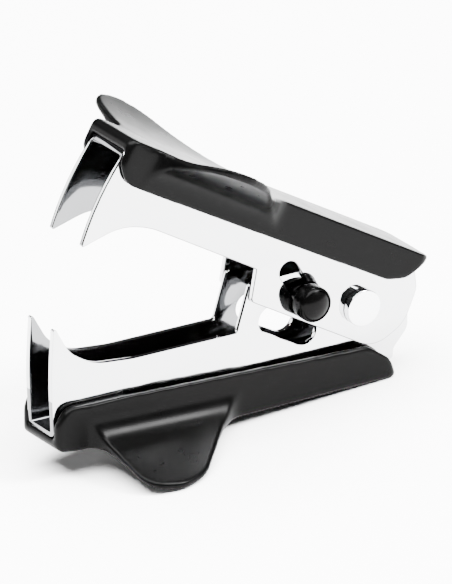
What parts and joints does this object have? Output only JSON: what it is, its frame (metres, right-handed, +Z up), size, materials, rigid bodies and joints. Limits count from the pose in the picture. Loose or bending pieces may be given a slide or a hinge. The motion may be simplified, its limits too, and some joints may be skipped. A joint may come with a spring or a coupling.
{
  "type": "staple remover",
  "caption": "Claw staple remover: sprung channel jaws with pointed claws turn on a rivet, winged finger grips cover their spines, and a sliding pin locks them closed.",
  "frame": {"origin": "middle of the box's underside: on the ground the lower wings and the lower grip's rear edge stand on, on the centre plane", "axes": "X runs from the claws to the riveted rear end, Y runs across along the rivet's axis, Z is up; the jaws are open"},
  "size_m": [0.064, 0.0356, 0.0491],
  "materials": {
    "chrome_plate": "bright plated",
    "spring_steel": "drawn wire",
    "black_grip_plastic": "satin black",
    "black_knob_plastic": "gloss black"
  },
  "bodies": {
    "lower": {"lower_jaw": "chrome_plate", "lower_grip": "black_grip_plastic", "pivot_rivet": "chrome_plate", "torsion_spring": "spring_steel"},
    "upper": {"upper_jaw": "chrome_plate", "upper_grip": "black_grip_plastic"},
    "lock": {"lock_pin": "chrome_plate", "near_lock_knob": "black_knob_plastic", "far_lock_knob": "black_knob_plastic"}
  },
  "joints": [
    {"name": "jaw_hinge", "type": "hinge", "parent": "lower", "child": "upper", "pos_m": [0.02011, 0, 0.01239], "axis": [0, -1, 0], "range_deg": [0, 28], "stiffness_Nm_per_rad": 0.1, "springref_deg": -34.38, "deforming": ["torsion_spring"]},
    {"name": "lock_slide", "type": "slide", "parent": "upper", "child": "lock", "axis": [-0.4644, 0, 0.8856], "range_m": [0, 0.0058]}
  ]
}
